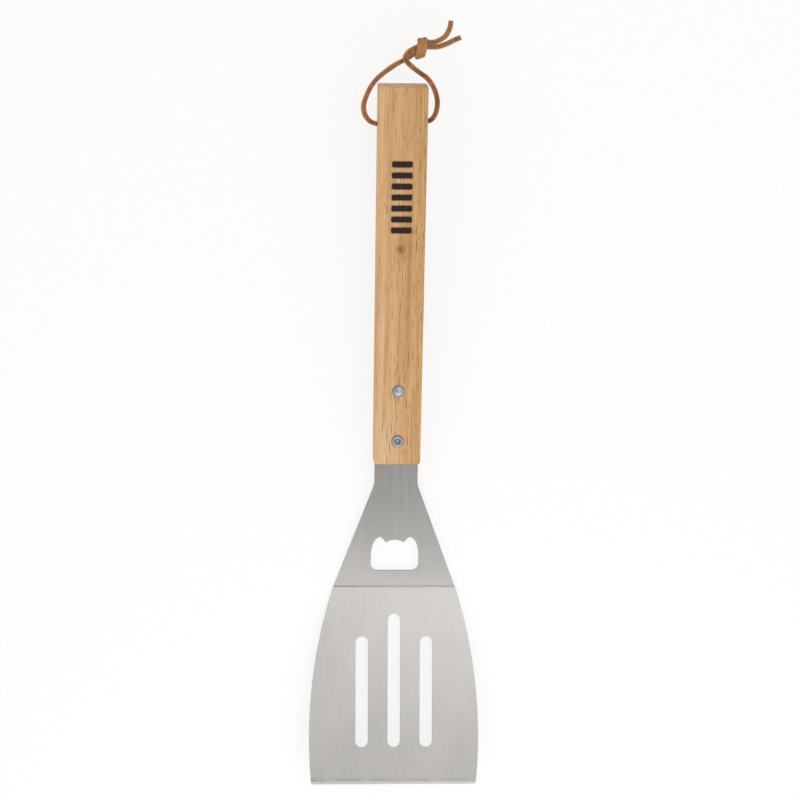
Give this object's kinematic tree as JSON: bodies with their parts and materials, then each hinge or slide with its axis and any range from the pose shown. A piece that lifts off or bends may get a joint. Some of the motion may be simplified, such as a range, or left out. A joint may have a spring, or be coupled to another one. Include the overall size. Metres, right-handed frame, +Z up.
{
  "type": "grill spatula",
  "caption": "Long-handled slotted grill spatula with a wooden handle, a bottle opener in the neck and a suede hanging cord.",
  "frame": {"origin": "middle of the crease between blade and neck, on the underside, which is the line the spatula rests on", "axes": "+Y along the spatula towards the handle, +Z up from the table, X across"},
  "size_m": [0.105, 0.4704, 0.0407],
  "materials": {
    "brushed_stainless": "brushed lengthwise",
    "oiled_hardwood": "sanded, lightly oiled",
    "rivet_metal": "satin",
    "brown_suede": "napped suede"
  },
  "bodies": {
    "spatula": {"blade": "brushed_stainless", "handle": "oiled_hardwood", "front_rivet": "rivet_metal", "rear_rivet": "rivet_metal"},
    "cord": {"hanging_cord": "brown_suede"}
  },
  "joints": [
    {"name": "cord_swing", "type": "hinge", "parent": "spatula", "child": "cord", "pos_m": [0, 0.28748, 0.02961], "axis": [1, 0, 0], "range_deg": [-145, 145]}
  ]
}
